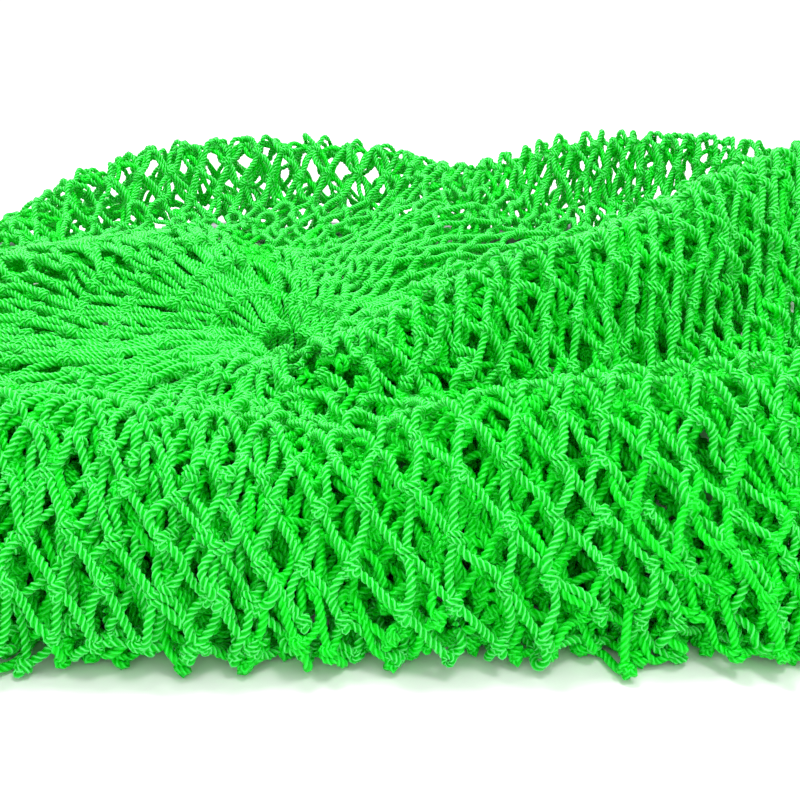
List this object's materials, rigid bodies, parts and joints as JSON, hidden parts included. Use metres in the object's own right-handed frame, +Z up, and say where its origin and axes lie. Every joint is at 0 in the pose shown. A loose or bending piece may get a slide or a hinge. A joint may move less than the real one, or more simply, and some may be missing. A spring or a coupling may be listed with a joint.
{
  "type": "cast net",
  "caption": "Cast net of knotted diamond netting, dropped in a loose heap over its leaded hem line, with horn, brails and barrel swivel at one side.",
  "frame": {"origin": "under the middle of the heap, on the surface that the net lies on", "axes": "+Z up, -Y towards the side that the picture is taken from, -X along the horn and swivel, out of the heap"},
  "size_m": [0.5284, 0.3016, 0.0748],
  "materials": {
    "netting": "bright green laid nylon twine",
    "hem_cord": "green laid cord",
    "lead": "dull cast lead",
    "horn_plastic": "moulded",
    "brail_line": "nylon monofilament",
    "swivel_steel": "satin"
  },
  "bodies": {
    "net": {"front_fold": "netting", "left_dome_fold": "netting", "back_left_arch": "netting", "back_right_wall": "netting", "right_ridge_fold": "netting", "middle_fold": "netting", "front_skirt": "netting", "base_bed": "netting", "neck_gather": "netting", "lead_line": "hem_cord", "sinkers": "lead", "hem_lacing": "hem_cord", "brail_knots": "brail_line", "horn": "horn_plastic", "horn_lashing": "hem_cord"},
    "brail_bundle": {"brails": "brail_line", "brail_sleeve": "swivel_steel", "brail_loop": "brail_line", "inner_eye": "swivel_steel"},
    "barrel": {"swivel_barrel": "swivel_steel"},
    "outer_eye": {"line_eye": "swivel_steel"}
  },
  "joints": [
    {"name": "brail_draw", "type": "slide", "parent": "net", "child": "brail_bundle", "axis": [-1, 0, 0], "range_m": [0, 0.04]},
    {"name": "barrel_spin", "type": "hinge", "parent": "brail_bundle", "child": "barrel", "pos_m": [-0.3132, 0, 0.018], "axis": [-1, 0, 0], "continuous": true},
    {"name": "line_eye_spin", "type": "hinge", "parent": "barrel", "child": "outer_eye", "pos_m": [-0.3276, 0, 0.018], "axis": [-1, 0, 0], "continuous": true}
  ]
}
